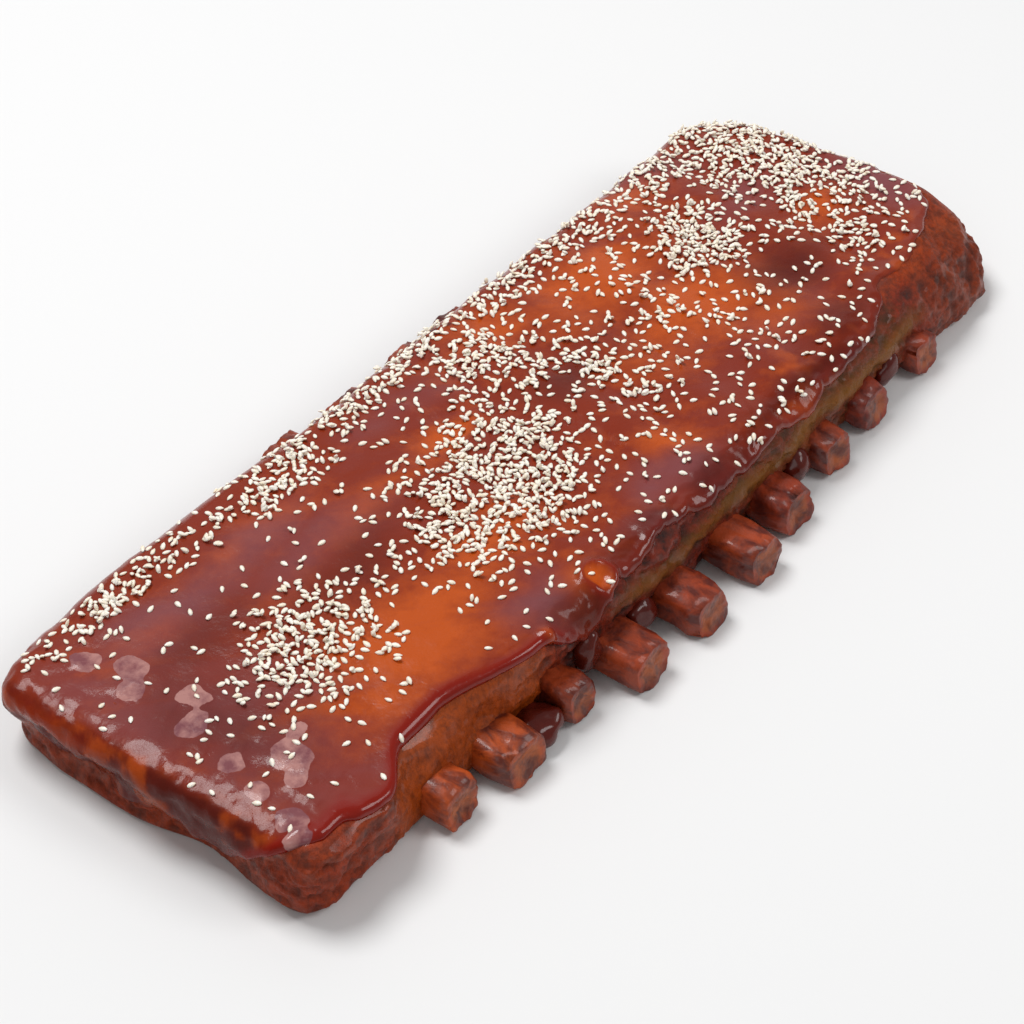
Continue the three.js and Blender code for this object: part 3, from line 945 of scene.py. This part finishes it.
class RACK_OT_ribs(bpy.types.Operator):
    """Build the ribs: bones that show at both long sides, sawn off and glazed over"""

    bl_idname = "rack.ribs"
    bl_label = "Ribs"

    def execute(self, context):
        material = rib_material()
        for index, rib in enumerate(RIBS, start=1):
            bone = self.rod(f"rib_{index:02d}")
            core = self.shape(bone, rib)
            self.roughen(bone, index)
            put_mask(bone, "core", core)
            put_mask(bone, "light", np.full(len(core), RIB_LIGHT[index - 1]))
            settle(bone, material)
            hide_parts(f"rib_bone_{index:02d}")
        return {"FINISHED"}

    def rod(self, name):
        """Adds a rod of radius 1 and length 2 along Y, cut into rings on its side and its ends."""
        deselect_all()
        bpy.ops.mesh.primitive_cylinder_add(
            vertices=RIB_SIDES, radius=1, depth=2, end_fill_type="NGON", rotation=(math.pi / 2, 0, 0)
        )
        bone = named(name)
        bpy.ops.object.transform_apply(location=False, rotation=True, scale=False)
        bpy.ops.object.mode_set(mode="EDIT")
        cut_edges_along(1, RIB_CUTS)
        bpy.ops.mesh.select_all(action="DESELECT")
        bpy.ops.object.mode_set(mode="OBJECT")
        for face in bone.data.polygons:
            face.select = abs(face.normal.y) > 0.9
        bpy.ops.object.mode_set(mode="EDIT")
        for thickness in RIB_CAP_INSETS:
            bpy.ops.mesh.inset(thickness=thickness, use_individual=True)
        bpy.ops.object.mode_set(mode="OBJECT")
        return bone

    def shape(self, bone, rib):
        """Gives the rod a rib's course, section and sawn ends. Returns where the core shows."""
        _, width, front, back = rib
        unit = points_of(bone) * MM
        ring = np.hypot(unit[:, 0], unit[:, 2])
        straight = mix(back, front, (1 - unit[:, 1]) / 2)
        from_end = np.minimum(straight - front, back - straight)
        along = np.clip(straight / RIB_HALF_SPAN, -1, 1)
        angle = np.arctan2(unit[:, 2], unit[:, 0])
        square = 1 / (np.abs(np.cos(angle)) ** 4 + np.abs(np.sin(angle)) ** 4) ** 0.25
        swell = (1 - RIB_FLARE * (1 - along**2)) * (0.9 + 0.1 * np.clip(from_end / 1.6, 0, 1) ** 0.5)
        centre_z = RIB_CENTRE_Z + RIB_ARCH * (1 - along**2)
        end_sign = np.where(np.abs(along) > 0.8, np.sign(along), 0)
        x = rib_centre_x(rib, straight) + unit[:, 0] * square * swell * width / 2
        z = centre_z + unit[:, 2] * square * swell * RIB_HEIGHT / 2
        hollow = 0.8 * (1 - rise(ring, 0.35, 0.75)) * (from_end < 0.1)
        y = straight - end_sign * (RIB_SAW_LEAN * (unit[:, 2] + 1) / 2 + hollow)
        put_points(bone, np.column_stack([x, y, z]))
        return (1 - rise(ring, 0.55, 0.85)) * (from_end < 0.1)

    def roughen(self, bone, seed):
        """Gives the rib its lumps and dents."""
        points = points_of(bone)
        rough = 1.2 * grain(points, 8, octaves=3, seed=seed)
        rough += 0.3 * grain(points, 2.4, octaves=2, seed=seed)
        put_on_ground(bone, points + normals_of(bone) * rough[:, None])


class RACK_OT_drops(bpy.types.Operator):
    """Build the drops of glaze that hang between the ribs"""

    bl_idname = "rack.drops"
    bl_label = "Drops"

    def execute(self, context):
        glaze = bpy.data.materials.get("dark_glaze")
        if glaze is None:
            raise RuntimeError("the drops share the glaze's material, so it is built first")
        deselect_all()
        parts = []
        for x, y, z, half_x, half_y, half_z in DROPS:
            bpy.ops.mesh.primitive_ico_sphere_add(
                subdivisions=4, radius=MM, location=(x * MM, y * MM, z * MM),
                scale=(half_x, half_y, half_z),
            )
            parts.append(bpy.context.object)
        deselect_all()
        for part in parts:
            part.select_set(True)
        bpy.context.view_layer.objects.active = parts[0]
        bpy.ops.object.transform_apply(location=True, rotation=True, scale=True)
        bpy.ops.object.join()
        drops = named("glaze_drops")
        points = points_of(drops)
        swells = 1.5 * grain(points, 8, octaves=2, seed=21)
        put_on_ground(drops, points + normals_of(drops) * swells[:, None])
        for mask in ("dark", "wet"):
            put_mask(drops, mask, np.ones(len(points)))
        settle(drops, glaze)
        return {"FINISHED"}


def seed_density(x, y):
    return np.minimum(1, SEED_BACKGROUND + places(x, y, SEED_CLUSTERS))


class RACK_OT_seeds(bpy.types.Operator):
    """Scatter sesame seeds over the glaze, in clusters"""

    bl_idname = "rack.seeds"
    bl_label = "Seeds"

    def execute(self, context):
        glaze = bpy.data.objects.get("glaze_coat")
        if glaze is None:
            raise RuntimeError("the seeds lie on the glaze, so it is built first")
        seed, triangles = self.one_seed()
        spots = self.spots(glaze)
        corners = []
        faces = []
        for index, (matrix, stretch) in enumerate(spots):
            turned = (seed * stretch) @ np.array(matrix.to_3x3()).T
            corners.append(turned + np.array(matrix.translation))
            faces.append(triangles + index * len(seed))
        mesh = bpy.data.meshes.new("sesame_seeds")
        mesh.from_pydata(np.concatenate(corners).tolist(), [], np.concatenate(faces).tolist())
        seeds = bpy.data.objects.new("sesame_seeds", mesh)
        bpy.context.scene.collection.objects.link(seeds)
        settle(seeds, seed_material())
        return {"FINISHED"}

    def one_seed(self):
        """Models one seed: a flat drop, pointed at one end. Returns its corners and triangles."""
        deselect_all()
        bpy.ops.mesh.primitive_uv_sphere_add(
            segments=SEED_SEGMENTS, ring_count=SEED_RINGS, radius=0.5
        )
        model = named("seed_model")
        bpy.ops.object.mode_set(mode="EDIT")
        bpy.ops.mesh.select_all(action="SELECT")
        bpy.ops.mesh.quads_convert_to_tris()
        bpy.ops.object.mode_set(mode="OBJECT")
        ball = points_of(model) * MM
        taper = 1 - 0.45 * rise(ball[:, 2], 0.0, 0.5)
        size = sizes()
        drop = np.column_stack([
            ball[:, 2] * size.seed_length,
            ball[:, 0] * taper * size.seed_width,
            ball[:, 1] * taper * size.seed_height,
        ])
        triangles = np.array([p.vertices[:] for p in model.data.polygons])
        bpy.data.objects.remove(model)
        return drop * MM, triangles

    def spots(self, glaze):
        """Draws where each seed lies and how it is turned, sparse outside the clusters."""
        random = np.random.default_rng(RANDOM_SEED)
        found = []
        taken = {}
        while len(found) < sizes().seed_count:
            x = random.uniform(-HALF_LENGTH, HALF_LENGTH)
            y = random.uniform(-SEED_SPREAD, SEED_SPREAD)
            chance, turn, tilt, roll, stretch = random.uniform(0, 1, 5)
            if chance > seed_density(np.array([x]), np.array([y]))[0]:
                continue
            above = Vector((x * MM, y * MM, SEED_FALL * MM))
            hit, point, normal, _ = glaze.ray_cast(above, Vector((0, 0, -1)))
            if not hit or normal.z < SEED_LEVEL:
                continue
            cell = (int(x // SEED_CELL), int(y // SEED_CELL))
            near = [
                p
                for i in (-1, 0, 1)
                for j in (-1, 0, 1)
                for p in taken.get((cell[0] + i, cell[1] + j), [])
            ]
            crowd = sum(math.hypot(p[0] - x, p[1] - y) < SEED_CROWDING for p in near)
            if crowd > SEED_PILE:
                continue
            taken.setdefault(cell, []).append((x, y))
            lean = (tilt - 0.5) * (0.35 + 0.9 * crowd)
            spin = Matrix.Rotation(turn * 2 * math.pi, 4, "Z")
            lift = Matrix.Rotation(lean, 4, "Y") @ Matrix.Rotation((roll - 0.5) * 0.6, 4, "X")
            stand = Vector((0, 0, 1)).rotation_difference(normal).to_matrix().to_4x4()
            height = (0.25 + 0.55 * crowd) * sizes().seed_height * MM
            place = Matrix.Translation(point + normal * height)
            found.append((place @ stand @ spin @ lift, 0.88 + 0.24 * stretch))
        return found


class RACK_OT_stage(bpy.types.Operator):
    """Set the floor, the soft lights and the camera"""

    bl_idname = "rack.stage"
    bl_label = "Stage"

    def execute(self, context):
        self.floor()
        self.lights()
        self.camera()
        return {"FINISHED"}

    def floor(self):
        deselect_all()
        bpy.ops.mesh.primitive_plane_add(size=FLOOR_SIZE, location=(0, 0, -FLOOR_GAP))
        floor = named("floor")
        recipe = Recipe("pale_floor")
        grey = (FLOOR_GREY, FLOOR_GREY, FLOOR_GREY, 1)
        floor.data.materials.append(recipe.finish(Base_Color=grey, Roughness=0.8))

    def lights(self):
        scene = bpy.context.scene
        world = bpy.data.worlds.new("studio")
        world.use_nodes = True
        background = world.node_tree.nodes["Background"]
        background.inputs["Color"].default_value = (1, 1, 1, 1)
        background.inputs["Strength"].default_value = WORLD_LIGHT
        scene.world = world
        for name, place, size, power in LIGHTS:
            bpy.ops.object.light_add(type="AREA", location=place)
            light = named(name)
            light.data.shape = "DISK"
            light.data.size = size
            light.data.energy = power
            light.rotation_euler = (-Vector(place)).to_track_quat("-Z", "Y").to_euler()

    def camera(self):
        bpy.ops.object.camera_add(location=CAMERA_PLACE)
        camera = named("camera")
        view = Vector(CAMERA_AIM) - Vector(CAMERA_PLACE)
        camera.rotation_euler = view.to_track_quat("-Z", "Y").to_euler()
        camera.data.lens = CAMERA_LENS
        camera.data.sensor_width = CAMERA_SENSOR
        camera.data.shift_x, camera.data.shift_y = CAMERA_SHIFT
        camera.data.clip_start = 0.01
        bpy.context.scene.camera = camera
        bpy.context.scene.view_settings.view_transform = "Standard"


class RACK_PT_panel(bpy.types.Panel):
    """The rack's pieces and their sizes and colours"""

    bl_idname = "RACK_PT_panel"
    bl_label = "Glazed Rack of Ribs"
    bl_space_type = "VIEW_3D"
    bl_region_type = "UI"
    bl_category = "Ribs"

    def draw(self, context):
        for group in (context.scene.rack_sizes, context.scene.rack_colours):
            box = self.layout.box()
            for name in group.bl_rna.properties.keys():
                if name not in ("rna_type", "name"):
                    box.prop(group, name)
        for operator in PIECES:
            self.layout.operator(operator.bl_idname)


PIECES = (RACK_OT_meat, RACK_OT_glaze, RACK_OT_drops, RACK_OT_ribs, RACK_OT_seeds, RACK_OT_stage)
CLASSES = (RackSizes, RackColours, *PIECES, RACK_PT_panel)


def register():
    for cls in CLASSES:
        bpy.utils.register_class(cls)
    bpy.types.Scene.rack_sizes = bpy.props.PointerProperty(type=RackSizes)
    bpy.types.Scene.rack_colours = bpy.props.PointerProperty(type=RackColours)


def unregister():
    del bpy.types.Scene.rack_colours
    del bpy.types.Scene.rack_sizes
    for cls in reversed(CLASSES):
        bpy.utils.unregister_class(cls)


def main():
    register()
    bpy.ops.rack.meat()
    bpy.ops.rack.glaze()
    bpy.ops.rack.drops()
    bpy.ops.rack.ribs()
    bpy.ops.rack.seeds()
    bpy.ops.rack.stage()


if __name__ == "__main__":
    main()
